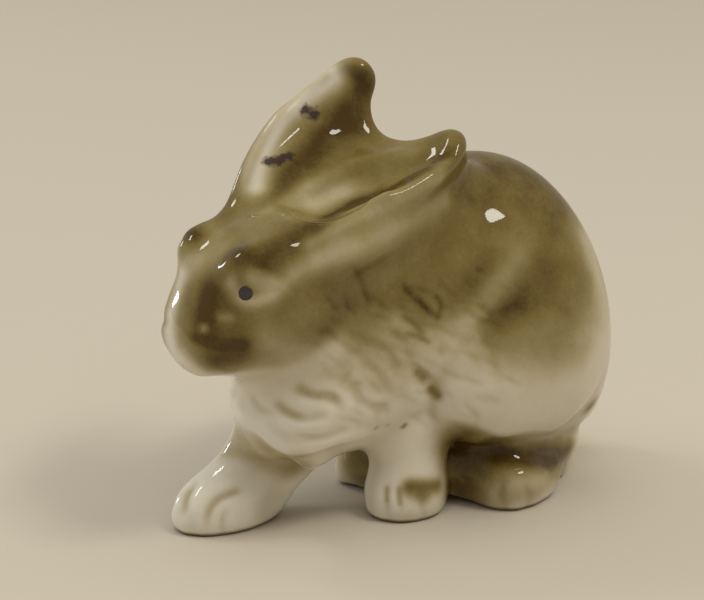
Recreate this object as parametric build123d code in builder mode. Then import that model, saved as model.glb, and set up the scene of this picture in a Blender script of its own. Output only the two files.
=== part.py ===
"""Porcelain rabbit figurine, creeping forward, as the castings it is assembled from.

Each casting is seated in a socket of the piece that carries it, on a fired layer of luting slip.
Millimetres. The nose points along -Y, the rabbit's left is +X, and Z = 0 is the surface it stands on.
The finished pieces are moved so that the origin is under the middle of the figure.
"""

import math
import os

from build123d import *

# Driving sizes of the whole figure
TORSO_LENGTH = 41.8
TORSO_WIDTH = 24.6
BACK_HEIGHT = 34.6
HEAD_LENGTH = 21.0
HEAD_WIDTH = 16.6
HEAD_HEIGHT = 14.8

# Clay and joints
WALL = 2.6
SLIP_THICKNESS = 0.3
VENT_RADIUS = 1.5
PASSAGE_RADIUS = 1.4

# Haunches
HAUNCH_WIDTH = 10.8
HAUNCH_LENGTH = 23.2
HAUNCH_HEIGHT = 19.2

# Rump base, which fills the space between the hind feet and stays clear of the ground
RUMP_BASE_WIDTH = 17.0
RUMP_BASE_LENGTH = 21.0
RUMP_BASE_HEIGHT = 13.0
GROUND_CLEARANCE = 0.5

# Brows
BROW_WIDTH = 4.8
BROW_LENGTH = 6.2
BROW_HEIGHT = 4.4

# Ears
LEFT_EAR_LENGTH = 24.4
LEFT_EAR_WIDTH = 10.6
LEFT_EAR_THICKNESS = 5.4
RIGHT_EAR_LENGTH = 22.0
RIGHT_EAR_WIDTH = 11.8
RIGHT_EAR_THICKNESS = 5.0
EAR_RIM = 1.1

# Forelegs, each with its paw's length and how far back the top of the leg lies from the paw
LEG_WIDTH = 6.9
LEFT_PAW_LENGTH = 8.4
LEFT_LEG_LEAN = 0.9
RIGHT_PAW_LENGTH = 11.2
RIGHT_LEG_LEAN = 9.8
TOE_GROOVE_RADIUS = 0.45
TOE_PITCH = 1.7

# Hind feet
FOOT_LENGTH = 14.4
FOOT_WIDTH = 8.0
LEFT_FOOT_TURN = 30.0
RIGHT_FOOT_TURN = -8.0

# Tail
TAIL_LENGTH = 8.0
TAIL_WIDTH = 6.0
TAIL_HEIGHT = 7.0

# Eyes
EYE_RADIUS = 0.8
EYE_DEPTH = 0.7
EYE_PROUD = 0.12
EYE_TURN = 38.0

# Torso stations from the chest's tip to the rump's tip: share of the length, then the top and the underside
# as shares of the back's height, then the width as a share of the widest
TORSO_SHARES = [
    (0.018, 0.495, 0.265, 0.27),
    (0.070, 0.590, 0.215, 0.54),
    (0.185, 0.780, 0.195, 0.73),
    (0.345, 0.895, 0.190, 0.82),
    (0.505, 0.970, 0.170, 0.92),
    (0.665, 1.000, 0.125, 1.00),
    (0.800, 0.955, 0.085, 0.99),
    (0.905, 0.825, 0.085, 0.83),
    (0.968, 0.650, 0.130, 0.55),
    (0.993, 0.490, 0.230, 0.27),
]
TORSO_TIP_SHARE = 0.36
TORSO_CAVITY_SHARES = (0.70, 0.595)
TORSO_CAVITY_HALF_SHARES = (0.50, 0.28, 0.40)

# Head stations from the neck to the muzzle's tip: share of the length, then the top and the underside as
# shares of the head's height above the jaw, then the width as a share of the widest
EYE_STATION_SHARES = (0.76, 0.84, 0.03, 0.84)
MUZZLE_STATION_SHARES = (0.88, 0.62, 0.04, 0.68)
HEAD_SHARES = [
    (0.00, 0.66, 0.16, 0.58),
    (0.14, 0.78, 0.06, 0.72),
    (0.28, 0.95, 0.01, 0.92),
    (0.45, 1.00, 0.00, 1.00),
    (0.62, 0.97, 0.01, 0.96),
    EYE_STATION_SHARES,
    MUZZLE_STATION_SHARES,
    (0.96, 0.46, 0.09, 0.44),
    (0.99, 0.36, 0.17, 0.22),
]
HEAD_TIP_SHARE = 0.265
HEAD_BACK_SHARE = 0.307
JAW_SHARE = 0.48
NECK_SEAT_SHARE = 0.10
HEAD_CAVITY_SHARES = (0.50, 0.39)
HEAD_CAVITY_HALF_SHARES = (0.375, 0.325, 0.405)

# Places on the torso: shares of the half-width, the length and the back's height
LEFT_HAUNCH_SHARES = (0.65, 0.650, 0.45)
RIGHT_HAUNCH_SHARES = (-0.65, 0.600, 0.45)
RUMP_BASE_SHARES = (0.720, 0.100)
LEFT_PAW_SHARES = (0.36, 0.392)
RIGHT_PAW_SHARES = (-0.29, -0.002)
LEG_TOP_SHARE = 0.36
LEG_SEAT_SHARE = 0.88
LEFT_FOOT_SHARES = (0.50, 0.717)
RIGHT_FOOT_SHARES = (-0.27, 0.500)
FOOT_TOP_SHARE = 0.265
FOOT_SEAT_SHARE = 0.87
TAIL_SHARES = (0.976, 0.185)
TAIL_SEAT_SHARE = 0.55

# Places on the head: shares of the half-width, the length and the height. Each ear also has the way that it
# points and the way that its hollow faces.
BROW_SHARES = (0.47, 0.629, 0.79)
LEFT_EAR_SHARES = (0.30, 0.595, 0.77)
LEFT_EAR_POINT_SHARES = (0.10, 0.90, 0.415)
LEFT_EAR_FACE_SHARES = (0.08, -0.36, 0.93)
RIGHT_EAR_SHARES = (-0.37, 0.39, 0.70)
RIGHT_EAR_POINT_SHARES = (-0.087, 0.590, 0.803)
RIGHT_EAR_FACE_SHARES = (0.85, -0.50, 0.10)

# Ear stations from base to tip: share of the length, then half-width and half-thickness as shares of the
# ear's
EAR_SHARES = [
    (0.00, 0.62, 0.44),
    (0.20, 0.95, 0.92),
    (0.42, 1.00, 0.92),
    (0.65, 0.86, 0.78),
    (0.84, 0.62, 0.60),
    (0.95, 0.36, 0.40),
]
EAR_SEAT_SHARE = 0.06
EAR_HOLLOW_SHARE = 0.62

# Foreleg stations from the ground up: share of the height, share of the lean, then half-width as a share of
# the leg's and half-length as a share of the paw's
LEG_SHARES = [
    (0.00, 0.00, 0.86, 0.84),
    (0.10, 0.00, 1.04, 1.00),
    (0.24, 0.06, 1.06, 0.98),
    (0.40, 0.32, 0.98, 0.90),
    (0.58, 0.60, 0.96, 0.90),
    (0.80, 0.86, 0.98, 0.88),
    (1.00, 1.00, 0.86, 0.74),
]

# Hind foot stations from the ground up: share of the height, then width and length shares
FOOT_SHARES = [
    (0.00, 0.88, 0.93),
    (0.14, 1.00, 1.00),
    (0.34, 0.98, 0.97),
    (0.62, 0.84, 0.82),
    (1.00, 0.54, 0.54),
]

FORWARD = (0, -1, 0)
BACKWARD = (0, 1, 0)
LEFT = (1, 0, 0)
LEFT_SIDE = 1
RIGHT_SIDE = -1
POLES_ALONG_Y = (90, 0, 0)
HALF_TURN = 180
TOP_ANGLE = 90
BOTTOM_ANGLE = -90


def torso_y(share):
    """A place along the torso, counted from the chest's tip."""
    return TORSO_LENGTH * share


def torso_point(out, along, up):
    """A place given as shares of the torso's half-width, length and height."""
    return Vector(TORSO_WIDTH / 2 * out, torso_y(along), BACK_HEIGHT * up)


HEAD_BACK_Y = torso_y(HEAD_BACK_SHARE)
JAW_Z = BACK_HEIGHT * JAW_SHARE
LEG_TOP_Z = BACK_HEIGHT * LEG_TOP_SHARE
FOOT_TOP_Z = BACK_HEIGHT * FOOT_TOP_SHARE


def head_y(share):
    """A place along the head, counted forward from inside the neck."""
    return HEAD_BACK_Y - HEAD_LENGTH * share


def head_point(out, along, up):
    """A place given as shares of the head's half-width, length and height."""
    return Vector(HEAD_WIDTH / 2 * out, head_y(along), JAW_Z + HEAD_HEIGHT * up)


def oval(plane, half_width, half_height):
    """An elliptical section on a plane, in two halves, so that a loft through it has edges and no seam."""
    with BuildSketch(plane) as section:
        with BuildLine():
            for start in (BOTTOM_ANGLE, TOP_ANGLE):
                EllipticalCenterArc((0, 0), half_width, half_height, start, arc_size=HALF_TURN)
        make_face()
    return section.sketch


def ellipsoid(centre, radii):
    """A unit ball with its poles fore and aft, scaled to three radii and moved to its centre."""
    with BuildPart() as lump:
        Sphere(1, rotation=POLES_ALONG_Y)
        scale(by=tuple(radii))
    return lump.part.moved(Location(centre))


def upright(y, z):
    """A plane across the rabbit, facing forward, with its Y upward."""
    return Plane(origin=(0, y, z), x_dir=LEFT, z_dir=FORWARD)


def torso_blank():
    """The torso's outer form: ovals lofted from the chest's tip to the rump's tip."""
    tip_z = BACK_HEIGHT * TORSO_TIP_SHARE
    sections = [Vertex(0, torso_y(0), tip_z)]
    for along, top, under, wide in TORSO_SHARES:
        middle = BACK_HEIGHT * (top + under) / 2
        half_height = BACK_HEIGHT * (top - under) / 2
        sections.append(oval(upright(torso_y(along), middle), TORSO_WIDTH / 2 * wide, half_height))
    sections.append(Vertex(0, torso_y(1), tip_z))
    with BuildPart() as torso:
        loft(sections)
    return torso.part


def rump_base():
    """The clay between the hind feet, cut level just above the ground."""
    radii = (RUMP_BASE_WIDTH / 2, RUMP_BASE_LENGTH / 2, RUMP_BASE_HEIGHT / 2)
    with BuildPart() as base:
        add(ellipsoid(torso_point(0, *RUMP_BASE_SHARES), radii))
        split(bisect_by=Plane.XY.offset(GROUND_CLEARANCE), keep=Keep.TOP)
    return base.part


def head_station(shares):
    """(y, middle height, half-width, half-height) of one head station."""
    along, top, under, wide = shares
    middle = JAW_Z + HEAD_HEIGHT * (top + under) / 2
    return head_y(along), middle, HEAD_WIDTH / 2 * wide, HEAD_HEIGHT * (top - under) / 2


def head_blank():
    """The head's outer form, from inside the neck to the muzzle's tip, with a brow over each eye."""
    sections = []
    for shares in HEAD_SHARES:
        y, middle, half_width, half_height = head_station(shares)
        sections.append(oval(upright(y, middle), half_width, half_height))
    sections.append(Vertex(0, head_y(1), JAW_Z + HEAD_HEIGHT * HEAD_TIP_SHARE))
    out, along, up = BROW_SHARES
    brow_radii = (BROW_WIDTH / 2, BROW_LENGTH / 2, BROW_HEIGHT / 2)
    with BuildPart() as head:
        loft(sections)
        for side in (LEFT_SIDE, RIGHT_SIDE):
            add(ellipsoid(head_point(side * out, along, up), brow_radii))
    return head.part


def ear_root(base, points, faces):
    """A plane at the ear's base, facing along the ear, with its Y the way that the hollow side faces."""
    axis = Vector(points).normalized()
    across = Vector(faces).cross(axis).normalized()
    return Plane(origin=base, x_dir=across, z_dir=axis)


def ear_blank(root, length, width, thickness):
    """(a leaf-shaped ear, the scoop that hollows it on the side that it faces)."""
    outer = []
    scoop = []
    for along, wide, thick in EAR_SHARES:
        plane = root.offset(length * along)
        half_width = width / 2 * wide
        half_thickness = thickness / 2 * thick
        outer.append(oval(plane, half_width, half_thickness))
        hollow = Plane(
            origin=plane.origin + plane.y_dir * half_thickness, x_dir=plane.x_dir, z_dir=plane.z_dir
        )
        hollow_half_width = max(half_width - EAR_RIM, EAR_RIM / 2)
        scoop.append(oval(hollow, hollow_half_width, half_thickness * 2 * EAR_HOLLOW_SHARE))
    tip = root.origin + root.z_dir * length
    with BuildPart() as leaf:
        loft([*outer, Vertex(*tip)])
    with BuildPart() as hollowing:
        loft(scoop[1:])
    return leaf.part, hollowing.part


def leg_blank(paw, paw_length, lean):
    """A foreleg with its paw: level ovals from the ground up into the chest, grooved between the toes."""
    sections = []
    for up, back, wide, long in LEG_SHARES:
        level = Plane(origin=(paw.X, paw.Y + lean * back, LEG_TOP_Z * up))
        sections.append(oval(level, LEG_WIDTH / 2 * wide, paw_length / 2 * long))
    with BuildPart() as leg:
        loft(sections)
        for step in (-1, 0, 1):
            x = step * TOE_PITCH
            reach = paw_length / 2 * math.sqrt(1 - (x / (LEG_WIDTH / 2)) ** 2)
            with Locations((paw.X + x, paw.Y - reach, 0)):
                Cylinder(TOE_GROOVE_RADIUS, paw_length / 2, mode=Mode.SUBTRACT)
    return leg.part


def foot_blank(place, turn):
    """A hind foot: level ovals from the ground up into the haunch, turned so that the toes point outward."""
    toes = Vector(FORWARD).rotate(Axis.Z, turn)
    sections = []
    for up, wide, long in FOOT_SHARES:
        level = Plane(origin=(place.X, place.Y, FOOT_TOP_Z * up), x_dir=toes)
        sections.append(oval(level, FOOT_LENGTH / 2 * long, FOOT_WIDTH / 2 * wide))
    with BuildPart() as foot:
        loft(sections)
    return foot.part


def eye_plane(side):
    """A plane on the head's surface at an eye, facing out."""
    turn = math.radians(EYE_TURN)
    y, middle, half_width, half_height = head_station(EYE_STATION_SHARES)
    y_next, middle_next, half_width_next, half_height_next = head_station(MUZZLE_STATION_SHARES)
    here = Vector(side * half_width * math.cos(turn), y, middle + half_height * math.sin(turn))
    ahead = Vector(
        side * half_width_next * math.cos(turn), y_next, middle_next + half_height_next * math.sin(turn)
    )
    around = Vector(-side * half_width * math.sin(turn), 0, half_height * math.cos(turn))
    out = around.cross(ahead - here).normalized() * side
    return Plane(origin=here, x_dir=around, z_dir=out)


def eye_dot(side):
    """A domed dot of enamel that fills a shallow recess."""
    with BuildPart() as dot:
        with Locations((0, 0, -EYE_DEPTH)):
            Cylinder(EYE_RADIUS, EYE_DEPTH + EYE_PROUD, align=(Align.CENTER, Align.CENTER, Align.MIN))
        fillet(dot.faces().sort_by(Axis.Z)[-1].edges(), EYE_PROUD)
    return dot.part.moved(eye_plane(side).location)


def joined(*pieces):
    """One solid made of pieces that run into each other."""
    with BuildPart() as whole:
        for piece in pieces:
            add(piece)
    return whole.part


def without(piece, *others):
    """A piece with the room that the others need cut out of it."""
    with BuildPart() as kept:
        add(piece)
        for other in others:
            add(other, mode=Mode.SUBTRACT)
    return kept.part


def beyond(blank, seat):
    """The part of a casting that stands out of a seat plane."""
    with BuildPart() as kept:
        add(blank)
        split(bisect_by=seat, keep=Keep.TOP)
    return kept.part


def above_slip(blank, seat):
    """The casting itself, which starts where its slip layer ends."""
    return beyond(blank, seat.offset(SLIP_THICKNESS))


def slip_layer(blank, seat):
    """The layer of slip between a seat plane and the casting on it."""
    with BuildPart() as layer:
        add(beyond(blank, seat))
        split(bisect_by=seat.offset(SLIP_THICKNESS), keep=Keep.BOTTOM)
    return layer.part


def cavity(centre, carrier_sizes, half_shares):
    """The hollow that a slip casting leaves inside its wall."""
    radii = [size * share - WALL for size, share in zip(carrier_sizes, half_shares)]
    return ellipsoid(centre, radii)


def rod(start, end, radius):
    """A round rod between two points."""
    with BuildPart() as bar:
        with BuildSketch(Plane(origin=start, z_dir=end - start)):
            Circle(radius)
        extrude(amount=(end - start).length)
    return bar.part


def downward(height):
    """A level seat plane that faces down."""
    return Plane(origin=(0, 0, height), x_dir=LEFT, z_dir=(0, 0, -1))


# Outer forms, each running on into the piece that carries it
haunch_radii = (HAUNCH_WIDTH / 2, HAUNCH_LENGTH / 2, HAUNCH_HEIGHT / 2)
body_form = joined(
    torso_blank(),
    ellipsoid(torso_point(*LEFT_HAUNCH_SHARES), haunch_radii),
    ellipsoid(torso_point(*RIGHT_HAUNCH_SHARES), haunch_radii),
    rump_base(),
)
head_form = head_blank()
left_root = ear_root(head_point(*LEFT_EAR_SHARES), LEFT_EAR_POINT_SHARES, LEFT_EAR_FACE_SHARES)
right_root = ear_root(head_point(*RIGHT_EAR_SHARES), RIGHT_EAR_POINT_SHARES, RIGHT_EAR_FACE_SHARES)
left_leaf, left_scoop = ear_blank(left_root, LEFT_EAR_LENGTH, LEFT_EAR_WIDTH, LEFT_EAR_THICKNESS)
right_leaf, right_scoop = ear_blank(right_root, RIGHT_EAR_LENGTH, RIGHT_EAR_WIDTH, RIGHT_EAR_THICKNESS)
left_leg_form = leg_blank(torso_point(*LEFT_PAW_SHARES, 0), LEFT_PAW_LENGTH, LEFT_LEG_LEAN)
right_leg_form = leg_blank(torso_point(*RIGHT_PAW_SHARES, 0), RIGHT_PAW_LENGTH, RIGHT_LEG_LEAN)
left_foot_form = foot_blank(torso_point(*LEFT_FOOT_SHARES, 0), LEFT_FOOT_TURN)
right_foot_form = foot_blank(torso_point(*RIGHT_FOOT_SHARES, 0), RIGHT_FOOT_TURN)
tail_place = torso_point(0, *TAIL_SHARES)
tail_form = ellipsoid(tail_place, (TAIL_WIDTH / 2, TAIL_LENGTH / 2, TAIL_HEIGHT / 2))

# Seats
neck_seat = upright(head_y(NECK_SEAT_SHARE), 0)
left_ear_seat = left_root.offset(LEFT_EAR_LENGTH * EAR_SEAT_SHARE)
right_ear_seat = right_root.offset(RIGHT_EAR_LENGTH * EAR_SEAT_SHARE)
leg_seat = downward(LEG_TOP_Z * LEG_SEAT_SHARE)
foot_seat = downward(FOOT_TOP_Z * FOOT_SEAT_SHARE)
tail_seat = Plane(origin=tail_place + Vector(FORWARD) * TAIL_LENGTH / 2 * TAIL_SEAT_SHARE, z_dir=BACKWARD)

# What fills each socket: a casting together with the slip layer under it
head_set = beyond(head_form, neck_seat)
right_leaf_set = beyond(right_leaf, right_ear_seat)
left_leaf_set = beyond(left_leaf, left_ear_seat)
right_ear_set = without(right_leaf_set, right_scoop)
left_ear_set = without(left_leaf_set, left_scoop, right_leaf_set)
left_leg_set = beyond(left_leg_form, leg_seat)
right_leg_set = beyond(right_leg_form, leg_seat)
left_foot_set = beyond(left_foot_form, foot_seat)
right_foot_set = beyond(right_foot_form, foot_seat)
tail_set = beyond(tail_form, tail_seat)

# Hollows, the vent under the belly and the passage through the neck
body_middle = torso_point(0, *TORSO_CAVITY_SHARES)
head_middle = head_point(0, *HEAD_CAVITY_SHARES)
body_hollow = cavity(body_middle, (TORSO_WIDTH, TORSO_LENGTH, BACK_HEIGHT), TORSO_CAVITY_HALF_SHARES)
head_hollow = cavity(head_middle, (HEAD_WIDTH, HEAD_LENGTH, HEAD_HEIGHT), HEAD_CAVITY_HALF_SHARES)
vent = rod(Vector(body_middle.X, body_middle.Y, 0), body_middle, VENT_RADIUS)
passage = rod(body_middle, head_middle, PASSAGE_RADIUS)

left_eye = eye_dot(LEFT_SIDE)
right_eye = eye_dot(RIGHT_SIDE)
legs = (left_leg_set, right_leg_set, left_foot_set, right_foot_set)
head_shell = without(head_set, left_leaf_set, right_leaf_set, left_eye, right_eye, head_hollow, passage)

nodes = {
    "body_casting": without(body_form, tail_set, head_set, *legs, body_hollow, vent, passage),
    "head_casting": above_slip(head_shell, neck_seat),
    "neck_slip": slip_layer(without(head_set, passage), neck_seat),
    "left_ear": without(above_slip(left_ear_set, left_ear_seat), body_form),
    "left_ear_slip": slip_layer(left_ear_set, left_ear_seat),
    "right_ear": without(above_slip(right_ear_set, right_ear_seat), body_form),
    "right_ear_slip": slip_layer(right_ear_set, right_ear_seat),
    "left_foreleg": above_slip(left_leg_set, leg_seat),
    "left_foreleg_slip": slip_layer(left_leg_set, leg_seat),
    "right_foreleg": above_slip(right_leg_set, leg_seat),
    "right_foreleg_slip": slip_layer(right_leg_set, leg_seat),
    "left_hind_foot": above_slip(left_foot_set, foot_seat),
    "left_hind_foot_slip": slip_layer(left_foot_set, foot_seat),
    "right_hind_foot": above_slip(right_foot_set, foot_seat),
    "right_hind_foot_slip": slip_layer(right_foot_set, foot_seat),
    "tail": above_slip(tail_set, tail_seat),
    "tail_slip": slip_layer(tail_set, tail_seat),
    "left_eye": left_eye,
    "right_eye": right_eye,
}

box = Compound(children=[piece.moved(Location()) for piece in nodes.values()]).bounding_box()
to_origin = Location((-box.center().X, -box.center().Y, 0))
print("moved by", to_origin.position)

os.makedirs("parts", exist_ok=True)
for name, piece in nodes.items():
    placed = piece.moved(to_origin)
    placed.label = name
    export_step(placed, f"parts/{name}.step")
    print(name, len(placed.solids()), round(placed.volume, 1), placed.is_valid)
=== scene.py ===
"""Looks of the porcelain rabbit: one soft glaze skin over the castings, modelled fur and sprayed colour, with
painted shade in places and a painted sheen at the rear.
"""

import math
from collections import namedtuple

import bpy
import numpy as np
import openvdb
from mathutils import Matrix, Vector
from mathutils.bvhtree import BVHTree


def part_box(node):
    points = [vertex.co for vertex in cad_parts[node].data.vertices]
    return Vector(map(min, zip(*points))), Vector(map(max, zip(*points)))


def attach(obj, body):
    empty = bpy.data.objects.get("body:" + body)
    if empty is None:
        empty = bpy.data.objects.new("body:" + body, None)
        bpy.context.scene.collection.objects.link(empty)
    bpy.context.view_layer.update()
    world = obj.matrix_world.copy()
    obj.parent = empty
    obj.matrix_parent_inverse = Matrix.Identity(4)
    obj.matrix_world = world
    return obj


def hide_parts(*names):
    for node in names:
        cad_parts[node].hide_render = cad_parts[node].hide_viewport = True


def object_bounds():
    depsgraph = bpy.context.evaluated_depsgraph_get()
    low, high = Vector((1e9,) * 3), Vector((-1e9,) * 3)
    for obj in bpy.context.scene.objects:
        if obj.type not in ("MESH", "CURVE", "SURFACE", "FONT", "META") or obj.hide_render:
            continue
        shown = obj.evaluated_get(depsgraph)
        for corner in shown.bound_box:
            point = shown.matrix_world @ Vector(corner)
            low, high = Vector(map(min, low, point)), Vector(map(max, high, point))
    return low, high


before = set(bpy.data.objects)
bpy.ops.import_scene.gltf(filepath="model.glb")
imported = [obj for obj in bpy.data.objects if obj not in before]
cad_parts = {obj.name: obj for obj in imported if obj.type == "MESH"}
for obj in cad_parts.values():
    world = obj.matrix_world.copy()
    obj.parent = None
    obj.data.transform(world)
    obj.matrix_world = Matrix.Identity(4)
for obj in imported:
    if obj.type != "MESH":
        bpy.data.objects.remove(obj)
cad_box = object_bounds()

# Sculpting works in millimetres, on a grid of distances to the clay's surface
MM = 0.001
VOXEL = 0.20
MARGIN = 3.0
BAND = 2.5
SOFTEN_PASSES = 4
FORM_PASSES = 2
LAST_PASSES = 1
REACH_WIDTHS = 2.6
SHORTEST = 1e-9

# The shine follows a slightly softer skin, as that of a thick glaze does
SHINE_PASSES = 4

# How pigment gathers in creases and thins on ridges
CREASE_PASSES = 14
CREASE_FULL = 0.12
CREASE_GAIN = 0.20
RIDGE_LOSS = 0.08

# The photograph's frame and the camera that was fitted to it
PHOTO_WIDTH = 704
PHOTO_HEIGHT = 600
CAMERA_AZIMUTH = math.radians(55)
CAMERA_ELEVATION = math.radians(17)
CAMERA_DISTANCE = 260.0
PIXELS_PER_MM = 9.5
ANCHOR_PIXEL = (469, 474)
ANCHOR_BEHIND_CHEST = 28.0
SENSOR_WIDTH = 36.0
CLIP_START = 10.0
SIGHT_START = 200.0
SIGHT_END = 300.0
SIGHT_STEP = 0.5

chest_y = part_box("body_casting")[0].y / MM
anchor = Vector((0, chest_y + ANCHOR_BEHIND_CHEST, 0))

# How softly each casting runs into what is already there
CASTING_BLENDS = {
    "body_casting": 0.5,
    "head_casting": 3.0,
    "right_ear": 3.0,
    "left_ear": 3.0,
    "left_foreleg": 2.2,
    "right_foreleg": 2.4,
    "left_hind_foot": 2.0,
    "right_hind_foot": 2.0,
    "tail": 1.6,
}
SLIPS = [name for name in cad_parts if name.endswith("_slip")]

# The vent under the belly, measured back from the chest
VENT_BEHIND_CHEST = 29.26
VENT_RADIUS = 1.5
VENT_DEPTH = 5.0
VENT_PLUG_TOP = 12.0
BASE_UNDERSIDE = 0.5

# Rolls of clay: the two ends, each as distances out, behind the chest and up, then the radius and how softly
# the roll runs into the rest
Roll = namedtuple("Roll", "start end radius blend")
ROLLS = {
    "left_knee": Roll((5.4, 24.2, 3.4), (9.0, 26.6, 3.2), 3.0, 1.5),
    "left_ear_skirt": Roll((7.0, 7.0, 29.4), (4.9, 20.0, 31.2), 1.7, 3.0),
}

# Where wet slip filled the hollows between pieces: the two ends of the place and how far it reaches
Fill = namedtuple("Fill", "start end reach")
FILL_RADIUS = 5.0
FILL_FADE = 3.0
FILL_SPARE_VOXELS = 4
FILLS = {
    "between_ears": Fill((-2.0, 4.5, 33.0), (0.5, 14.5, 34.5), 4.4),
    "under_left_ear": Fill((6.5, 3.0, 29.0), (5.0, 21.5, 33.0), 5.0),
}

# Where the clay was smoothed over: a place as above, the reach and the number of passes
Smoothing = namedtuple("Smoothing", "place reach passes")
SMOOTHINGS = {
    "brows": Smoothing((0, -0.4, 28.6), 6.5, 50),
    "muzzle": Smoothing((-1.0, -5.5, 23.0), 5.0, 30),
}

# A line modelled on the skin: the photograph's pixels that it runs through, its half-width and its height in
# millimetres (below zero is a groove), and whether the far side has one too
Stroke = namedtuple("Stroke", "pixels half_width height far_side")
FORMS = {
    "far_brow": Stroke([(188, 246), (189, 256)], 2.0, 0.6, True),
    "muzzle_front": Stroke([(166, 312), (164, 335), (172, 358)], 3.2, -0.60, False),
    "chin": Stroke([(190, 378), (216, 382)], 2.2, -0.50, True),
    "right_ear_back_edge": Stroke([(382, 98), (379, 124), (377, 142)], 1.6, -0.90, False),
    "right_ear_upper_edge": Stroke([(336, 62), (312, 78), (292, 98)], 1.4, -0.50, False),
    "right_ear_fold": Stroke([(354, 78), (340, 100), (330, 122), (324, 138)], 1.3, 0.45, False),
    "right_ear_trough": Stroke([(342, 78), (314, 102), (286, 132), (265, 164), (258, 192)],
                               1.3, -0.55, False),
    "right_ear_rim": Stroke([(330, 76), (300, 98), (270, 130), (250, 165), (243, 192)], 0.7, 0.20, False),
    "left_ear_far_rim": Stroke([(384, 134), (404, 136), (428, 134)], 1.5, -1.10, False),
    "left_ear_near_rim": Stroke([(380, 178), (412, 160), (440, 145)], 1.6, -1.20, False),
    "left_ear_outside": Stroke([(326, 250), (364, 233), (404, 214)], 2.0, -0.80, False),
    "brow_ridge": Stroke([(256, 252), (272, 244), (288, 236)], 1.9, 0.35, True),
    "under_haunch": Stroke([(454, 430), (488, 446), (530, 453), (568, 449)], 1.5, -1.2, True),
    "hind_foot_side": Stroke([(574, 462), (562, 486)], 1.8, -0.60, False),
    "far_foot_front": Stroke([(334, 466), (340, 486), (352, 492)], 2.0, -1.20, False),
    "haunch_ridge": Stroke([(440, 366), (462, 330), (486, 300), (514, 258)], 1.8, 0.35, True),
    "haunch_groove": Stroke([(492, 322), (518, 300), (545, 276)], 2.4, -0.28, True),
    "flank_groove": Stroke([(446, 322), (468, 294), (488, 266)], 1.6, -0.26, True),
    "leg_crease": Stroke([(416, 370), (428, 382), (438, 398)], 0.8, -0.26, True),
    "ruff_edge": Stroke([(237, 416), (258, 428), (274, 442), (292, 449), (312, 447), (338, 439), (364, 434)],
                        0.9, 0.35, False),
    "under_ruff": Stroke([(236, 430), (258, 441), (274, 454), (292, 462), (312, 461)], 0.9, -0.30, False),
    "right_leg_side": Stroke([(314, 460), (300, 478), (288, 494)], 1.8, 1.00, False),
    "behind_cheek": Stroke([(352, 272), (360, 310), (346, 352), (322, 374)], 1.5, -0.25, True),
}
LINES = {
    "mouth": Stroke([(190, 336), (202, 341), (220, 346), (244, 343)], 0.5, -0.18, True),
    "upper_lid": Stroke([(229, 287), (236, 277), (250, 273), (270, 279), (286, 291)], 0.45, 0.12, True),
    "lower_lid": Stroke([(229, 289), (238, 300), (250, 304), (268, 299), (286, 292)], 0.45, 0.10, True),
    "lid_fold": Stroke([(226, 276), (240, 266), (258, 266), (280, 276)], 0.5, -0.10, True),
    "left_ear_trough": Stroke([(350, 206), (372, 195), (395, 184), (430, 164), (450, 152)],
                              0.9, -0.55, False),
    "left_ear_rim": Stroke([(340, 215), (366, 204), (395, 192), (430, 172), (456, 156)], 0.5, 0.25, False),
    "ear_streak": Stroke([(330, 250), (372, 234), (412, 214), (442, 196)], 0.9, 0.08, False),
    "ear_streak_groove": Stroke([(320, 244), (362, 226), (404, 206), (438, 184)], 0.7, -0.07, False),
    "left_toe_a": Stroke([(388, 486), (386, 498), (388, 508)], 0.34, -0.24, False),
    "left_toe_b": Stroke([(400, 488), (399, 500), (401, 510)], 0.34, -0.24, False),
    "left_toe_c": Stroke([(421, 496), (422, 506), (425, 516)], 0.45, -0.14, False),
    "right_toe_a": Stroke([(238, 490), (218, 499), (208, 512), (206, 528)], 0.50, -0.32, False),
    "right_toe_b": Stroke([(194, 484), (186, 497), (184, 512)], 0.42, -0.28, False),
    "right_toe_c": Stroke([(226, 510), (222, 522), (223, 532)], 0.40, -0.18, False),
    "hind_toe_a": Stroke([(506, 480), (502, 494), (505, 508)], 0.50, -0.22, True),
    "hind_toe_b": Stroke([(526, 484), (530, 496), (528, 507)], 0.45, -0.16, True),
    "lock_a": Stroke([(300, 391), (314, 396), (330, 396), (341, 408)], 0.50, -0.20, True),
    "lock_a_ridge": Stroke([(304, 400), (322, 404), (334, 412)], 0.60, 0.14, True),
    "lock_b": Stroke([(276, 404), (288, 413), (306, 419), (322, 416)], 0.50, -0.18, True),
    "lock_b_ridge": Stroke([(282, 422), (304, 428), (326, 424)], 0.70, 0.14, True),
    "lock_c": Stroke([(252, 398), (258, 408), (270, 413)], 0.45, -0.15, True),
    "lock_d": Stroke([(338, 376), (352, 384), (360, 398)], 0.50, -0.16, True),
    "lock_e": Stroke([(364, 362), (378, 372), (388, 390)], 0.55, -0.18, True),
    "lock_f": Stroke([(372, 340), (388, 352), (398, 372)], 0.55, -0.18, True),
    "lock_g": Stroke([(350, 392), (366, 404), (388, 408)], 0.50, -0.15, True),
    "lock_h": Stroke([(300, 434), (322, 438), (346, 430)], 0.50, -0.14, True),
    "tick_a": Stroke([(354, 266), (362, 284), (370, 306)], 0.28, -0.14, True),
    "tick_b": Stroke([(404, 286), (414, 298), (426, 308)], 0.30, -0.18, True),
    "tick_c": Stroke([(418, 296), (428, 310), (438, 318)], 0.30, -0.18, True),
    "tick_d": Stroke([(436, 296), (441, 306), (438, 316)], 0.28, -0.16, True),
    "tick_e": Stroke([(404, 316), (414, 324), (422, 332)], 0.30, -0.18, True),
    "tick_f": Stroke([(408, 334), (418, 336), (428, 342)], 0.28, -0.14, True),
}

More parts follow.
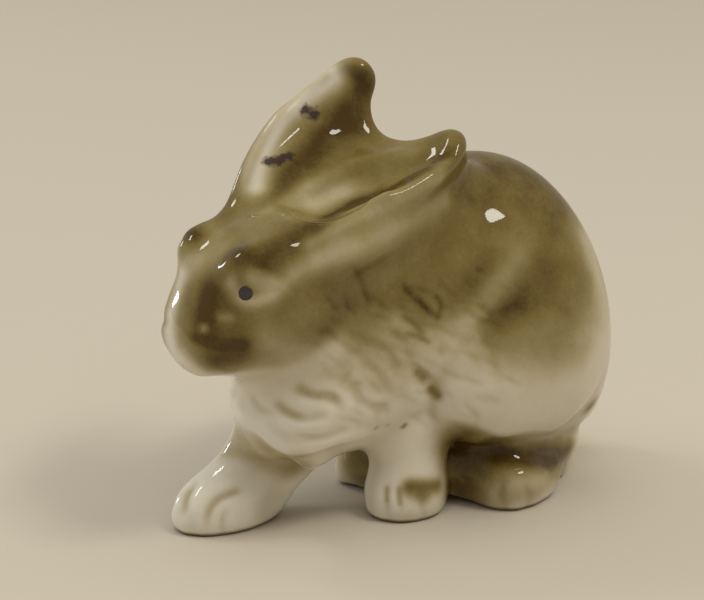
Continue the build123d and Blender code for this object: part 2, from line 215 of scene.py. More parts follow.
# Fine fur ticks scattered over both flanks: where they are, how they lie and how large they are
TICK_COUNT = 150
TICK_ZONE_LOW = (6.0, 3.0, 12.0)
TICK_ZONE_HIGH = (14.0, 22.0, 26.0)
TICK_FLOW = Vector((0, 0.8, -0.6))
TICK_STEPS = 10
TICK_LENGTHS = (1.2, 3.2)
TICK_HALF_WIDTH = 0.22
TICK_DEPTHS = (0.04, 0.14)
TICK_SWAY = 0.3
TICK_SEED = 7

# Sprayed colour: the pixels that a pass of the brush runs through, its reach in millimetres, the tone that it
# leaves (0 is bare white, 1 is the darkest brown), how fully it covers, and whether the far side has it too
# Most passes are the figurine's own brown spray; the ones marked below are also painted shade, and one is a
# painted sheen
Spray = namedtuple("Spray", "pixels reach tone cover far_side")
BARE_TONE = 0.03
BACK_TONE = 0.70
BACK_FADE = (14.5, 23.0)
SPRAYS = {
    "back": Spray([(462, 172), (510, 170), (556, 200)], 5.0, 0.90, 0.75, True),
    "low_haunch": Spray([(462, 408), (510, 402), (566, 396)], 4.4, 0.07, 0.90, True),
    "haunch_tan": Spray([(516, 348), (552, 352), (580, 344)], 2.8, 0.46, 0.65, True),
    # Painted sheen: the pale rear edge is partly lighter paint and partly a painted grazing reflection of the
    # bright room
    "rear_pale_paint_and_sheen": Spray([(588, 244), (603, 296), (608, 360)], 2.6, 0.14, 0.80, True),
    "haunch_patch": Spray([(556, 300), (552, 330)], 3.4, 0.66, 0.65, True),
    "haunch_brown": Spray([(496, 322), (522, 300), (550, 270)], 3.0, 0.82, 0.65, True),
    "haunch_core": Spray([(490, 320), (514, 302)], 1.6, 0.90, 0.45, True),
    "haunch_fan": Spray([(434, 354), (450, 338)], 2.2, 0.16, 0.65, True),
    "haunch_light_low": Spray([(446, 356), (466, 328)], 1.6, 0.26, 0.75, True),
    "haunch_light_high": Spray([(464, 332), (490, 295), (518, 254)], 1.8, 0.38, 0.52, True),
    "shoulder_fan": Spray([(398, 322), (424, 338)], 1.3, 0.28, 0.50, True),
    "flank_light": Spray([(432, 372), (456, 362)], 2.2, 0.14, 0.60, True),
    "flank_brown": Spray([(474, 284), (498, 256)], 1.2, 0.80, 0.55, True),
    "flank_under_ear": Spray([(366, 268), (400, 262), (434, 246), (466, 238)], 2.6, 0.68, 0.60, True),
    "neck_light": Spray([(398, 356), (384, 334)], 1.8, 0.26, 0.55, True),
    "low_neck": Spray([(336, 346), (350, 362)], 1.8, 0.16, 0.65, True),
    "shoulder_brown": Spray([(362, 384), (396, 390)], 1.4, 0.36, 0.45, True),
    "tail_mark": Spray([(591, 406)], 1.0, 0.85, 0.80, False),
    # These two passes are brown paint and painted shade: the dark mass under the overhanging haunch and over
    # the hind foot
    "under_haunch": Spray([(456, 440), (486, 454), (528, 462), (566, 456)], 2.4, 1.00, 0.97, True),
    "hind_inside_paint_and_shade": Spray([(456, 484), (470, 488), (462, 462), (480, 470)], 2.6, 0.94, 0.97, False),
    "toe_cap": Spray([(502, 496), (516, 492), (538, 490)], 1.5, 0.40, 0.88, True),
    # Painted shade: this brown darkens the pale far hind foot where it stands in shade behind the near
    # foreleg
    "far_foot": Spray([(346, 462), (360, 478)], 3.2, 0.70, 0.88, False),
    "forehead": Spray([(208, 240), (216, 262)], 1.5, 0.49, 0.80, True),
    "far_brow": Spray([(199, 236), (188, 246), (193, 262)], 1.5, 0.24, 0.80, False),
    "chin": Spray([(192, 374), (226, 376)], 1.0, 0.14, 0.75, False),
    "cheek": Spray([(322, 274), (338, 300), (330, 325)], 2.2, 0.80, 0.80, True),
    "mid_cheek": Spray([(272, 314), (298, 330)], 1.8, 0.68, 0.75, True),
    "low_cheek": Spray([(262, 342), (292, 354)], 1.8, 0.32, 0.70, True),
    "jaw": Spray([(246, 374), (292, 370), (330, 352)], 1.7, 0.06, 0.75, True),
    "temple_light": Spray([(266, 288), (298, 270), (332, 248)], 1.2, 0.36, 0.80, True),
    "over_eye": Spray([(234, 252), (262, 255), (290, 244), (318, 230)], 1.8, 1.00, 0.98, True),
    "muzzle_brown": Spray([(212, 290), (208, 312), (214, 340), (234, 350), (216, 360)],
                          1.9, 1.00, 0.97, True),
    "muzzle_mid": Spray([(228, 308), (236, 330)], 1.6, 0.86, 0.80, True),
    "muzzle_front": Spray([(182, 276), (177, 292), (171, 312), (169, 334), (175, 354), (188, 367)],
                          1.8, 0.07, 0.95, False),
    "eye_light": Spray([(232, 285), (250, 301), (272, 292), (252, 280)], 0.9, 0.30, 0.72, True),
    "muzzle_spot_a": Spray([(204, 328)], 0.5, 0.45, 0.70, False),
    "muzzle_spot_b": Spray([(222, 317), (230, 318)], 0.5, 0.55, 0.60, False),
    "mouth_front": Spray([(194, 339), (211, 344)], 0.5, 1.00, 0.60, False),
    "mouth_side": Spray([(227, 341), (245, 346)], 0.5, 1.00, 0.60, False),
    "right_ear_back": Spray([(368, 92), (364, 112), (356, 132)], 2.6, 1.00, 0.92, False),
    "right_ear_dark": Spray([(364, 82), (348, 108), (328, 134), (304, 160), (280, 188)],
                            1.9, 1.00, 0.94, False),
    "right_ear_light": Spray([(334, 77), (302, 102), (276, 132), (260, 162), (256, 186)],
                             1.4, 0.02, 0.92, False),
    "right_ear_rim": Spray([(326, 76), (294, 100), (266, 136), (246, 180)], 0.5, 0.42, 0.60, False),
    "ear_root": Spray([(292, 200), (308, 186)], 1.4, 0.44, 0.70, False),
    "ear_web": Spray([(350, 148), (384, 152), (350, 172)], 1.8, 0.80, 0.80, False),
    "ear_valley": Spray([(314, 204), (342, 192)], 1.5, 0.22, 0.80, False),
    "left_ear_tip": Spray([(440, 146), (458, 142)], 1.5, 0.86, 0.80, False),
    "left_ear_edge": Spray([(310, 244), (346, 226), (396, 202), (440, 178)], 0.8, 0.48, 0.75, False),
    # Brown paint and painted shade: the bottom of the left ear's trough, above its near rim
    "left_ear_dark_paint_and_shade": Spray([(312, 226), (350, 207), (395, 186), (430, 165), (448, 154)],
                           0.9, 1.00, 0.90, False),
    "left_ear_middle": Spray([(330, 246), (372, 224), (420, 200)], 0.7, 0.58, 0.50, False),
    "left_ear_streak": Spray([(318, 260), (360, 246), (404, 226), (444, 202)], 1.2, 0.36, 0.70, False),
    "chest": Spray([(258, 408), (300, 432), (352, 420)], 3.4, 0.00, 0.92, True),
    "lock_pigment_a": Spray([(302, 390), (316, 396), (334, 398)], 0.7, 0.50, 0.45, True),
    "lock_pigment_b": Spray([(280, 406), (296, 416)], 0.7, 0.40, 0.40, True),
    "leg_crease_top": Spray([(417, 373), (423, 378)], 0.5, 0.65, 0.55, True),
    "leg_crease_low": Spray([(431, 389), (437, 395)], 0.5, 0.80, 0.65, True),
    "right_leg_top": Spray([(236, 436), (256, 446), (280, 458), (300, 456)], 1.1, 0.36, 0.75, False),
    "right_leg_band": Spray([(228, 450), (246, 453), (266, 462), (288, 470), (304, 464)],
                            1.1, 0.42, 0.80, False),
    "right_paw": Spray([(232, 490), (202, 508)], 2.2, 0.08, 0.90, False),
    "right_paw_side": Spray([(262, 514), (268, 494)], 1.2, 0.22, 0.50, False),
    "right_toe_line_a": Spray([(236, 492), (218, 500), (209, 514)], 0.4, 0.36, 0.30, False),
    "right_toe_line_b": Spray([(188, 494), (184, 510)], 0.7, 0.40, 0.45, False),
    "left_leg": Spray([(404, 440), (408, 468)], 2.8, 0.02, 0.90, False),
    "left_toes_dark": Spray([(410, 487), (424, 487), (437, 486)], 0.8, 0.92, 0.82, False),
    "left_toes_lobe": Spray([(416, 492), (424, 495)], 1.0, 0.85, 0.62, False),
    "left_toe_line_a": Spray([(387, 489), (387, 500)], 0.3, 0.60, 0.40, False),
    "left_toe_line_b": Spray([(399, 489), (400, 503)], 0.3, 0.60, 0.40, False),
    "left_paw_front": Spray([(392, 518), (432, 514)], 0.8, 0.14, 0.75, False),
    # Painted shade: dark specks where the glaze has pinholes; the pits themselves are not modelled
    "pinhole_a": Spray([(405, 425), (403, 427)], 0.25, 0.70, 0.70, False),
    "pinhole_b": Spray([(376, 428)], 0.25, 0.60, 0.50, False),
    "pinhole_c": Spray([(388, 425)], 0.22, 0.55, 0.40, False),
}

# Brown along the ticks that are placed one by one
TICK_TONE = 0.90
TICK_COVER = 0.25
TICK_PIGMENTS = {
    name: Spray(stroke.pixels, stroke.half_width, TICK_TONE, TICK_COVER, stroke.far_side)
    for name, stroke in LINES.items() if name.startswith("tick_")
}

# The dark rim of the soles, with the heights between which it fades
SOLE_TONE = 0.85
SOLE_FADE = (0.10, 0.60)

# Dark specks in the right ear
SPECKS = {
    "upper_speck": Spray([(306, 110), (314, 115)], 0.8, 1.0, 1.0, False),
    "lower_speck": Spray([(267, 162), (278, 161), (288, 156)], 0.75, 1.0, 1.0, False),
}

# The eye dots
EYE_RADIUS = 0.68
EYE_PROUD = 0.12
EYE_DEPTH = 0.5
EYE_RINGS = 6
EYE_SEGMENTS = 28

# Colours, linear
GLAZE_RAMP = [
    (0.00, (0.780, 0.730, 0.620)),
    (0.30, (0.490, 0.418, 0.270)),
    (0.55, (0.295, 0.235, 0.103)),
    (0.78, (0.182, 0.131, 0.036)),
    (1.00, (0.070, 0.039, 0.005)),
]
SPECK_COLOUR = (0.040, 0.022, 0.020, 1)
EYE_COLOURS = [(0.032, 0.026, 0.024, 1), (0.085, 0.070, 0.066, 1)]
FLOOR_COLOUR = (0.570, 0.515, 0.425, 1)

# Noise in the paint and the glaze: features a millimetre and how much detail they have
Noise = namedtuple("Noise", "scale detail")
NOISE_ROUGHNESS = 0.6
CLOUDS = Noise(0.35, 4)
CLOUD_STRENGTH = 0.36
GRAIN = Noise(3.0, 3)
GRAIN_STRENGTH = 0.16
LEAST_MOTTLE = 0.2
TONE_MOTTLE = 0.8
RAGGED = Noise(1.3, 5)
RAGGED_STRENGTH = 1.5
RIPPLE = Noise(0.5, 1)
RIPPLE_STRENGTH = 0.15
RIPPLE_HEIGHT = 0.05
BRUSHING = Noise(2.0, 3)
BRUSHING_MIDDLE = 0.4

# Where a speck starts and is full, and how much it hides
SPECK_EDGE = (0.42, 0.85)
SPECK_COVER = 0.92

# Finishes
PORCELAIN_ROUGHNESS = 0.5
GLAZE_ROUGHNESS = 0.04
GLAZE_IOR = 1.37
ENAMEL_ROUGHNESS = 0.35
ENAMEL_SPECULAR = 0.3
FLOOR_ROUGHNESS = 0.9
FLOOR_SPECULAR = 0.1

# Sockets of a mix node that mixes colours
MIX_FIRST = 6
MIX_SECOND = 7
MIX_RESULT = 2


def camera_axes():
    """The camera's right, up and backward directions."""
    sin_a, cos_a = math.sin(CAMERA_AZIMUTH), math.cos(CAMERA_AZIMUTH)
    sin_e, cos_e = math.sin(CAMERA_ELEVATION), math.cos(CAMERA_ELEVATION)
    right = Vector((cos_a, sin_a, 0))
    up = Vector((-sin_a * sin_e, cos_a * sin_e, cos_e))
    back = Vector((sin_a * cos_e, -cos_a * cos_e, sin_e))
    return right, up, back


RIGHT, UP, BACK = camera_axes()


def camera_place():
    """Where the camera stands, in millimetres."""
    across = (PHOTO_WIDTH / 2 - ANCHOR_PIXEL[0]) / PIXELS_PER_MM
    above = (ANCHOR_PIXEL[1] - PHOTO_HEIGHT / 2) / PIXELS_PER_MM
    return anchor + RIGHT * across + UP * above + BACK * CAMERA_DISTANCE


def add_camera():
    data = bpy.data.cameras.new("camera")
    data.sensor_width = SENSOR_WIDTH
    data.lens = PIXELS_PER_MM * CAMERA_DISTANCE / PHOTO_WIDTH * SENSOR_WIDTH
    data.clip_start = CLIP_START * MM
    camera = bpy.data.objects.new("camera", data)
    bpy.context.scene.collection.objects.link(camera)
    turn = Matrix((RIGHT, UP, BACK)).transposed().to_4x4()
    camera.matrix_world = Matrix.Translation(camera_place() * MM) @ turn
    bpy.context.scene.camera = camera


def behind_chest(place):
    """A place given as distances out, behind the chest and up."""
    out, along, up = place
    return Vector((out, chest_y + along, up))


# The grid
low = np.floor((np.array(cad_box[0]) / MM - MARGIN) / VOXEL).astype(int)
high = np.ceil((np.array(cad_box[1]) / MM + MARGIN) / VOXEL).astype(int)
shape = tuple(high - low + 1)
axes = [((low[i] + np.arange(shape[i])) * VOXEL).astype(np.float32) for i in range(3)]


def distance_grid(points, band, **sides):
    """A grid of distances to a closed surface, right as far as the band."""
    return openvdb.FloatGrid.createLevelSetFromPolygons(
        points,
        transform=openvdb.createLinearTransform(VOXEL),
        halfWidth=band / VOXEL,
        **sides,
    )


def field_of(grid):
    """A grid's values where the sculpting is done."""
    field = np.empty(shape, np.float32)
    grid.copyToArray(field, ijk=tuple(int(i) for i in low))
    return field


def node_field(name):
    """Distances to one casting's surface, negative inside it."""
    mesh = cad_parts[name].data
    mesh.calc_loop_triangles()
    points = np.empty(len(mesh.vertices) * 3, np.float32)
    mesh.vertices.foreach_get("co", points)
    triangles = np.empty(len(mesh.loop_triangles) * 3, np.int32)
    mesh.loop_triangles.foreach_get("vertices", triangles)
    return field_of(distance_grid(
        points.reshape(-1, 3) / MM,
        BAND,
        triangles=triangles.reshape(-1, 3).astype(np.uint32),
    ))


def around(points, reach):
    """(slices of the grid that hold some points with room to spare, the coordinates there)."""
    spots = np.array(points)
    cuts = []
    for axis in range(3):
        start = np.searchsorted(axes[axis], spots[:, axis].min() - reach)
        stop = np.searchsorted(axes[axis], spots[:, axis].max() + reach)
        cuts.append(slice(start, stop))
    x, y, z = (axes[axis][cuts[axis]] for axis in range(3))
    return tuple(cuts), (x[:, None, None], y[None, :, None], z[None, None, :])


def run_together(a, b, softness):
    """The union of two fields with a soft fillet where they meet."""
    near = np.clip(softness - np.abs(a - b), 0, None) / softness
    return np.minimum(a, b) - near * near * softness / 4


def close_hollow(field):
    """Fills what is walled in on all six sides."""
    solid = field < 0
    walled = ~solid
    for axis in range(3):
        walled &= np.maximum.accumulate(solid, axis)
        walled &= np.flip(np.maximum.accumulate(np.flip(solid, axis), axis), axis)
    field[walled] = -BAND


def soften(field, passes):
    """Rounds every edge, as a thick glaze does."""
    for _ in range(passes):
        for axis in range(3):
            before = np.roll(field, 1, axis)
            after = np.roll(field, -1, axis)
            field = field * 0.5 + (before + after) * 0.25
    return field


def vent_rod(bottom, top):
    """(where the vent is on the grid, distances to it) between two heights."""
    place = (0, chest_y + VENT_BEHIND_CHEST)
    cuts, (x, y, z) = around([(*place, bottom), (*place, top)], VENT_RADIUS * 2)
    sideways = np.hypot(x - place[0], y - place[1]) - VENT_RADIUS
    return cuts, np.maximum(sideways, np.maximum(z - top, bottom - z))


def from_axis(start, end, coordinates):
    """(squares of the distances to the line between two points, how far along it they are, 0 to 1)."""
    x, y, z = (values - origin for values, origin in zip(coordinates, start))
    run = end - start
    along = np.clip((x * run.x + y * run.y + z * run.z) / max(run.length_squared, SHORTEST), 0, 1)
    return (x - along * run.x) ** 2 + (y - along * run.y) ** 2 + (z - along * run.z) ** 2, along


def add_roll(field, roll):
    """Adds a roll of clay between two places."""
    ends = [behind_chest(roll.start), behind_chest(roll.end)]
    cuts, coordinates = around(ends, roll.radius + roll.blend * 2)
    distance = np.sqrt(from_axis(*ends, coordinates)[0]) - roll.radius
    field[cuts] = run_together(field[cuts], distance, roll.blend)


def skin_of(field):
    """Points and four-sided faces of the surface where the field is zero."""
    grid = openvdb.FloatGrid()
    grid.transform = openvdb.createLinearTransform(VOXEL)
    grid.copyFromArray(field, ijk=tuple(int(i) for i in low))
    return grid.convertToQuads(isovalue=0.0)


def fill_hollows(field, fills):
    """Fills the hollows at some places up to a fillet."""
    band = FILL_RADIUS + FILL_SPARE_VOXELS * VOXEL
    points, quads = skin_of(field)
    swollen = distance_grid(points, band, quads=quads).convertToQuads(isovalue=FILL_RADIUS)
    filled = field_of(distance_grid(swollen[0], band, quads=swollen[1])) + FILL_RADIUS
    for fill in fills.values():
        ends = [behind_chest(fill.start), behind_chest(fill.end)]
        cuts, coordinates = around(ends, fill.reach + FILL_FADE)
        share = np.clip(1 - (np.sqrt(from_axis(*ends, coordinates)[0]) - fill.reach) / FILL_FADE, 0, 1)
        field[cuts] += np.minimum(filled[cuts] - field[cuts], 0) * share


def smooth_over(field, smoothing):
    """Softens the clay around a place."""
    place = behind_chest(smoothing.place)
    cuts, (x, y, z) = around([place], smoothing.reach * 2)
    square = (x - place.x) ** 2 + (y - place.y) ** 2 + (z - place.z) ** 2
    share = np.exp(-square / smoothing.reach**2)
    part = field[cuts]
    field[cuts] = part + (soften(part, smoothing.passes) - part) * share


def tree_of(field):
    """A search tree of the surface where a field is zero."""
    points, faces = skin_of(field)
    return BVHTree.FromPolygons(points.tolist(), faces.tolist())


def sight_line(pixel):
    """(start, direction) of the line of sight through a pixel of the photograph."""
    across, down = pixel[0] - PHOTO_WIDTH / 2, pixel[1] - PHOTO_HEIGHT / 2
    direction = RIGHT * across - UP * down - BACK * (PIXELS_PER_MM * CAMERA_DISTANCE)
    return camera_place(), direction.normalized()


def on_skin(tree, pixel):
    """Where the skin shows at a pixel, or comes nearest to it."""
    start, direction = sight_line(pixel)
    hit = tree.ray_cast(start, direction)[0]
    if hit is not None:
        return hit
    steps = np.arange(SIGHT_START, SIGHT_END, SIGHT_STEP)
    found = [tree.find_nearest(start + direction * step) for step in steps]
    return min(found, key=lambda one: one[3])[0]


def smooth_line(pixels, spacing):
    """Pixels along a smooth curve through some given ones."""
    if len(pixels) == 1:
        return pixels
    ends = [pixels[0], *pixels, pixels[-1]]
    line = []
    for a, b, c, d in zip(ends, ends[1:], ends[2:], ends[3:]):
        a, b, c, d = (np.array(p, float) for p in (a, b, c, d))
        count = max(2, math.ceil(np.linalg.norm(c - b) / spacing))
        for t in np.arange(count) / count:
            bend = 2 * b + (c - a) * t + (2 * a - 5 * b + 4 * c - d) * t**2 + (3 * b - a - 3 * c + d) * t**3
            line.append(tuple(bend / 2))
    return [*line, pixels[-1]]


def laid_lines(tree, mark, width):
    """The lines that a mark makes on the skin: one at its pixels, and one on the far side if it has it."""
    pixels = smooth_line(mark.pixels, max(width * PIXELS_PER_MM / 2, 1))
    near = [on_skin(tree, pixel) for pixel in pixels]
    lines = [near]
    if mark.far_side:
        lines.append([tree.find_nearest(Vector((-p.x, p.y, p.z)))[0] for p in near])
    return lines


def nearness(line, reach, coordinates, taper):
    """How near the coordinates are to a line, from 1 on it down to 0, with its ends fading if it tapers."""
    best = 0
    for index, (start, end) in enumerate(zip(line, line[1:] or line)):
        square, along = from_axis(start, end, coordinates)
        weight = np.exp(-square / reach**2)
        if taper:
            weight = weight * np.sqrt(np.sin(math.pi * (index + along + 1) / (len(line) + 1)))
        best = np.maximum(best, weight)
    return best


def model_line(field, line, half_width, height):
    """Raises or sinks the clay along a line."""
    cuts, coordinates = around(line, half_width * REACH_WIDTHS)
    field[cuts] -= height * nearness(line, half_width, coordinates, taper=len(line) > 2)


def model_strokes(field, strokes):
    """Models a set of strokes on the surface as it is before them."""
    tree = tree_of(field)
    for stroke in strokes.values():
        for line in laid_lines(tree, stroke, stroke.half_width):
            model_line(field, line, stroke.half_width, stroke.height)


def scatter_ticks(field):
    """Cuts fine fur ticks into both flanks."""
    tree = tree_of(field)
    random = np.random.default_rng(TICK_SEED)
    for _ in range(TICK_COUNT):
        spot = behind_chest([random.uniform(*span) for span in zip(TICK_ZONE_LOW, TICK_ZONE_HIGH)])
        length = random.uniform(*TICK_LENGTHS)
        depth = random.uniform(*TICK_DEPTHS)
        sway = [random.uniform(-TICK_SWAY, TICK_SWAY) for axis in "yz"]
        flow = TICK_FLOW + Vector((0, *sway))
        for side in (1, -1):
            line = []
            for step in range(TICK_STEPS):
                ahead = spot + flow * (length * step / TICK_STEPS)
                line.append(tree.find_nearest(Vector((side * ahead.x, ahead.y, ahead.z)))[0])
            model_line(field, line, TICK_HALF_WIDTH, -depth)


def read_field(field, points):
    """The field's values at some points, read between the grid's."""
    place = points / VOXEL - low
    base = np.clip(np.floor(place).astype(int), 0, np.array(shape) - 2)
    part = place - base
    value = 0
    for corner in np.ndindex(2, 2, 2):
        weight = np.prod(np.where(np.array(corner) == 1, part, 1 - part), axis=1)
        spot = base + np.array(corner)
        value = value + weight * field[spot[:, 0], spot[:, 1], spot[:, 2]]
    return value


def field_slopes(field, points):
    """The direction straight out of the surface at some points."""
    slopes = np.empty_like(points)
    for axis in range(3):
        step = np.zeros(3, points.dtype)
        step[axis] = VOXEL
        slopes[:, axis] = read_field(field, points + step) - read_field(field, points - step)
    return slopes / np.linalg.norm(slopes, axis=1)[:, None]


def fade(values, span):
    """A smooth step from 0 to 1 across a span."""
    share = np.clip((values - span[0]) / (span[1] - span[0]), 0, 1)
    return share * share * (3 - 2 * share)


def sprayed(tree, tone, points, sprays):
    """The tone of each point after some passes of the brush."""
    for spray in sprays.values():
        for line in laid_lines(tree, spray, spray.reach):
            spots = np.array(line)
            margin = spray.reach * REACH_WIDTHS
            near = np.all((points > spots.min(0) - margin) & (points < spots.max(0) + margin), axis=1)
            share = spray.cover * nearness(line, spray.reach, points[near].T, taper=False)
            tone[near] += (spray.tone - tone[near]) * share
    return tone


def paint(tree, points, crease):
    """The tone of each point: white below, brown above, then the sprays, some of them painted shade and one a
    painted sheen, and what settles in creases.
    """
    tone = BARE_TONE + (BACK_TONE - BARE_TONE) * fade(points[:, 2], BACK_FADE)
    tone = sprayed(tree, tone, points, {**SPRAYS, **TICK_PIGMENTS})
    tone += (SOLE_TONE - tone) * (1 - fade(points[:, 2], SOLE_FADE))
    settled = np.clip(crease / CREASE_FULL, -1, 1)
    return np.clip(tone + np.where(settled > 0, settled * CREASE_GAIN, settled * RIDGE_LOSS), 0, 1)


def add_mesh(name, points, faces):
    mesh = bpy.data.meshes.new(name)
    mesh.from_pydata((np.asarray(points) * MM).tolist(), [], faces)
    mesh.polygons.foreach_set("use_smooth", [True] * len(mesh.polygons))
    mesh.update()
    piece = bpy.data.objects.new(name, mesh)
    bpy.context.scene.collection.objects.link(piece)
    return piece


def add_values(piece, name, values):
    """Keeps one number for each of a piece's points."""
    kept = piece.data.attributes.new(name, "FLOAT", "POINT")
    kept.data.foreach_set("value", np.asarray(values, np.float32))


def add_eye(name, node, tree):
    """A domed dot of enamel on the skin over a CAD eye."""
    corner_low, corner_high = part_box(node)
    centre, out, _, _ = tree.find_nearest((corner_low + corner_high) / 2 / MM)
    across = out.cross(Vector((0, 0, 1))).normalized()
    upward = across.cross(out)
    points = [tuple(centre + out * EYE_PROUD)]
    faces = []
    for ring in range(1, EYE_RINGS + 2):
        share = min(ring / EYE_RINGS, 1)
        sunk = EYE_DEPTH if ring > EYE_RINGS else 0
        for segment in range(EYE_SEGMENTS):
            angle = math.tau * segment / EYE_SEGMENTS
            offset = (across * math.cos(angle) + upward * math.sin(angle)) * (EYE_RADIUS * share)
            spot = tree.ray_cast(centre + offset + out * EYE_RADIUS * 2, -out)[0]
            points.append(tuple(spot + out * (EYE_PROUD * math.sqrt(1 - share**2) - sunk)))
    for segment in range(EYE_SEGMENTS):
        following = (segment + 1) % EYE_SEGMENTS
        faces.append((0, 1 + segment, 1 + following))
        for ring in range(EYE_RINGS):
            inner, outer = 1 + ring * EYE_SEGMENTS, 1 + (ring + 1) * EYE_SEGMENTS
            faces.append((inner + segment, outer + segment, outer + following, inner + following))
    last = 1 + EYE_RINGS * EYE_SEGMENTS
    faces.append(tuple(last + segment for segment in reversed(range(EYE_SEGMENTS))))
    eye = add_mesh(name, points, faces)
    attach(eye, "root")
    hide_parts(node)
    return eye


def add_node(tree, kind, inputs=(), **settings):
    """A shader node with its settings and the values of its inputs."""
    node = tree.nodes.new(kind)
    for name, value in settings.items():
        setattr(node, name, value)
    for name, value in dict(inputs).items():
        node.inputs[name].default_value = value
    return node


def new_material(name):
    """(material, its node tree, its shader)."""
    material = bpy.data.materials.new(name)
    material.use_nodes = True
    return material, material.node_tree, material.node_tree.nodes["Principled BSDF"]


def math_node(tree, operation, first, second):
    """A sum or product of two values, each a number or an output."""
    node = add_node(tree, "ShaderNodeMath", operation=operation)
    for socket, value in zip(node.inputs, (first, second)):
        if isinstance(value, (int, float)):
            socket.default_value = value
        else:
            tree.links.new(value, socket)
    return node.outputs[0]


def noise(tree, place, kind):
    """Noise of one kind, from -0.5 to 0.5."""
    inputs = {"Scale": kind.scale / MM, "Detail": kind.detail, "Roughness": NOISE_ROUGHNESS}
    node = add_node(tree, "ShaderNodeTexNoise", inputs)
    tree.links.new(place, node.inputs["Vector"])
    return math_node(tree, "SUBTRACT", node.outputs["Fac"], 0.5)


def glaze_material():
    """Clear glaze over white porcelain with brown spray under it; in places the spray is painted shade, and
    at the rear edge a painted sheen.
    """
    material, tree, shader = new_material("glazed_porcelain")
    place = add_node(tree, "ShaderNodeTexCoord").outputs["Object"]
    tone = add_node(tree, "ShaderNodeAttribute", attribute_name="tone").outputs["Fac"]
    speck = add_node(tree, "ShaderNodeAttribute", attribute_name="speck").outputs["Fac"]

    cloudy = math_node(tree, "MULTIPLY", noise(tree, place, CLOUDS), CLOUD_STRENGTH)
    grainy = math_node(tree, "MULTIPLY", noise(tree, place, GRAIN), GRAIN_STRENGTH)
    strength = math_node(tree, "ADD", math_node(tree, "MULTIPLY", tone, TONE_MOTTLE), LEAST_MOTTLE)
    mottle = math_node(tree, "MULTIPLY", math_node(tree, "ADD", cloudy, grainy), strength)
    broken = math_node(tree, "ADD", tone, mottle)
    ramp = add_node(tree, "ShaderNodeValToRGB")
    tree.links.new(broken, ramp.inputs["Fac"])
    stops = ramp.color_ramp.elements
    while len(stops) < len(GLAZE_RAMP):
        stops.new(1)
    for stop, (position, colour) in zip(stops, GLAZE_RAMP):
        stop.position = position
        stop.color = (*colour, 1)

    frayed = math_node(tree, "MULTIPLY", noise(tree, place, RAGGED), RAGGED_STRENGTH)
    ragged = math_node(tree, "ADD", speck, frayed)
    edge_inputs = {"From Min": SPECK_EDGE[0], "From Max": SPECK_EDGE[1], "To Max": SPECK_COVER}
    edge = add_node(tree, "ShaderNodeMapRange", edge_inputs, clamp=True)
    tree.links.new(ragged, edge.inputs["Value"])
    spotted = add_node(tree, "ShaderNodeMix", data_type="RGBA")
    tree.links.new(edge.outputs["Result"], spotted.inputs["Factor"])
    tree.links.new(ramp.outputs["Color"], spotted.inputs[MIX_FIRST])
    spotted.inputs[MIX_SECOND].default_value = SPECK_COLOUR
    tree.links.new(spotted.outputs[MIX_RESULT], shader.inputs["Base Color"])

    ripple_inputs = {"Strength": RIPPLE_STRENGTH, "Distance": RIPPLE_HEIGHT * MM}
    ripple = add_node(tree, "ShaderNodeBump", ripple_inputs)
    tree.links.new(noise(tree, place, RIPPLE), ripple.inputs["Height"])
    tree.links.new(ripple.outputs["Normal"], shader.inputs["Normal"])
    tree.links.new(ripple.outputs["Normal"], shader.inputs["Coat Normal"])
    shader.inputs["Roughness"].default_value = PORCELAIN_ROUGHNESS
    shader.inputs["Specular IOR Level"].default_value = 0.0
    shader.inputs["Coat Weight"].default_value = 1.0
    shader.inputs["Coat Roughness"].default_value = GLAZE_ROUGHNESS
    shader.inputs["Coat IOR"].default_value = GLAZE_IOR
    return material


def enamel_material():
    """Dark enamel with a faint brushed mottle."""
    material, tree, shader = new_material("eye_enamel")
    place = add_node(tree, "ShaderNodeTexCoord").outputs["Object"]
    ramp = add_node(tree, "ShaderNodeValToRGB")
    for stop, colour in zip(ramp.color_ramp.elements, EYE_COLOURS):
        stop.color = colour
    mottle = math_node(tree, "ADD", noise(tree, place, BRUSHING), BRUSHING_MIDDLE)
    tree.links.new(mottle, ramp.inputs["Fac"])
    tree.links.new(ramp.outputs["Color"], shader.inputs["Base Color"])
    shader.inputs["Roughness"].default_value = ENAMEL_ROUGHNESS
    shader.inputs["Specular IOR Level"].default_value = ENAMEL_SPECULAR
    return material


def floor_material():
    """A plain pale cloth-coloured floor."""
    material, _, shader = new_material("floor")
    shader.inputs["Base Color"].default_value = FLOOR_COLOUR
    shader.inputs["Roughness"].default_value = FLOOR_ROUGHNESS
    shader.inputs["Specular IOR Level"].default_value = FLOOR_SPECULAR
    return material


# The castings run together into one clay form with its hollow closed
clay = None
for casting, softness in CASTING_BLENDS.items():
    field = node_field(casting)
    clay = field if clay is None else run_together(clay, field, softness)
cuts, plug = vent_rod(BASE_UNDERSIDE, VENT_PLUG_TOP)
clay[cuts] = np.minimum(clay[cuts], plug)
close_hollow(clay)
for roll in ROLLS.values():
    add_roll(clay, roll)
fill_hollows(clay, FILLS)
clay = soften(clay, SOFTEN_PASSES)
for smoothing in SMOOTHINGS.values():
    smooth_over(clay, smoothing)
model_strokes(clay, FORMS)
clay = soften(clay, FORM_PASSES)
model_strokes(clay, LINES)
scatter_ticks(clay)
cuts, vent = vent_rod(-MARGIN, VENT_DEPTH)
clay[cuts] = np.maximum(clay[cuts], -vent)
clay = np.maximum(soften(clay, LAST_PASSES), -axes[2])

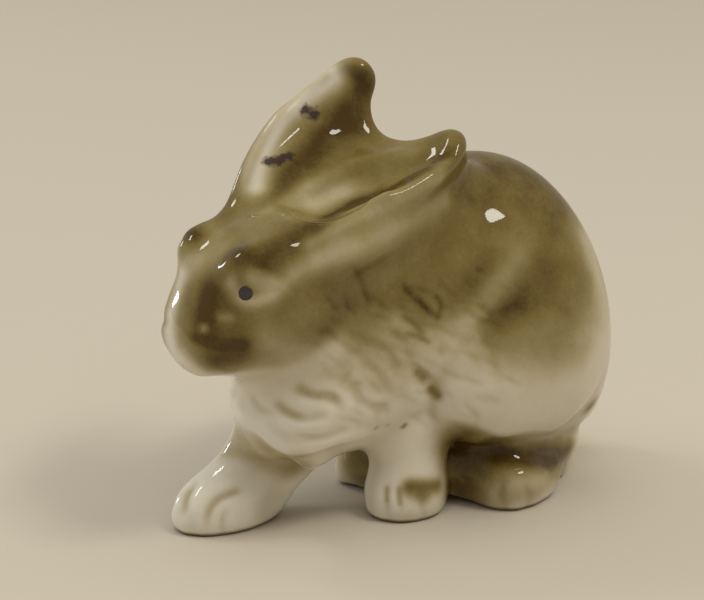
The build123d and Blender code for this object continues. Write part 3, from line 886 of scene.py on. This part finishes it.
points, faces = skin_of(clay)
skin = add_mesh("glaze_skin", points, faces.tolist())
slopes = field_slopes(soften(clay, SHINE_PASSES), points)
skin.data.normals_split_custom_set_from_vertices(slopes.tolist())
tree = tree_of(clay)
crease = -read_field(soften(clay, CREASE_PASSES), points)
add_values(skin, "tone", paint(tree, points, crease))
add_values(skin, "speck", sprayed(tree, np.zeros(len(points)), points, SPECKS))
skin.data.materials.append(glaze_material())
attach(skin, "root")
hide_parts(*CASTING_BLENDS, *SLIPS)

enamel = enamel_material()
for side in ("left", "right"):
    add_eye(f"{side}_eye_dot", f"{side}_eye", tree).data.materials.append(enamel)

add_camera()

# Floor and light; a lamp with no shine lights the room without a reflection of its own
FLOOR_SIZE = 3.0
WORLD_COLOUR = (1.0, 0.96, 0.88, 1)
WORLD_STRENGTH = 0.34
Lamp = namedtuple("Lamp", "toward distance width height energy colour shines")
LAMPS = {
    "ceiling": Lamp((0.15, 0.10, 1.0), 0.8, 1.2, 1.2, 3.9, (1.0, 0.97, 0.91), False),
    "left_fill": Lamp((-0.65, -0.70, 0.30), 0.7, 0.5, 0.4, 1.2, (0.88, 0.94, 1.0), False),
    "window": Lamp((0.52, 0.26, 0.81), 0.6, 0.21, 0.085, 1.10, (1.0, 0.96, 0.85), True),
    "front_window": Lamp((-0.60, -0.32, 0.72), 0.6, 0.16, 0.06, 0.42, (1.0, 0.97, 0.90), True),
    "side_window": Lamp((-0.97, -0.18, 0.10), 0.6, 0.05, 0.11, 0.22, (0.86, 0.93, 1.0), True),
}

bpy.ops.mesh.primitive_plane_add(size=FLOOR_SIZE)
floor = bpy.context.object
floor.name = "floor"
floor.data.materials.append(floor_material())

world = bpy.data.worlds.new("studio")
bpy.context.scene.world = world
world.use_nodes = True
world.node_tree.nodes["Background"].inputs["Color"].default_value = WORLD_COLOUR
world.node_tree.nodes["Background"].inputs["Strength"].default_value = WORLD_STRENGTH
middle = (cad_box[0] + cad_box[1]) / 2
for name, lamp in LAMPS.items():
    light = bpy.data.lights.new(name, "AREA")
    light.shape = "RECTANGLE"
    light.size = lamp.width
    light.size_y = lamp.height
    light.energy = lamp.energy
    light.color = lamp.colour
    holder = bpy.data.objects.new(name, light)
    bpy.context.scene.collection.objects.link(holder)
    toward = Vector(lamp.toward).normalized()
    holder.location = middle + toward * lamp.distance
    holder.rotation_euler = toward.to_track_quat("Z", "Y").to_euler()
    holder.visible_glossy = lamp.shines
bpy.context.scene.view_settings.view_transform = "Standard"
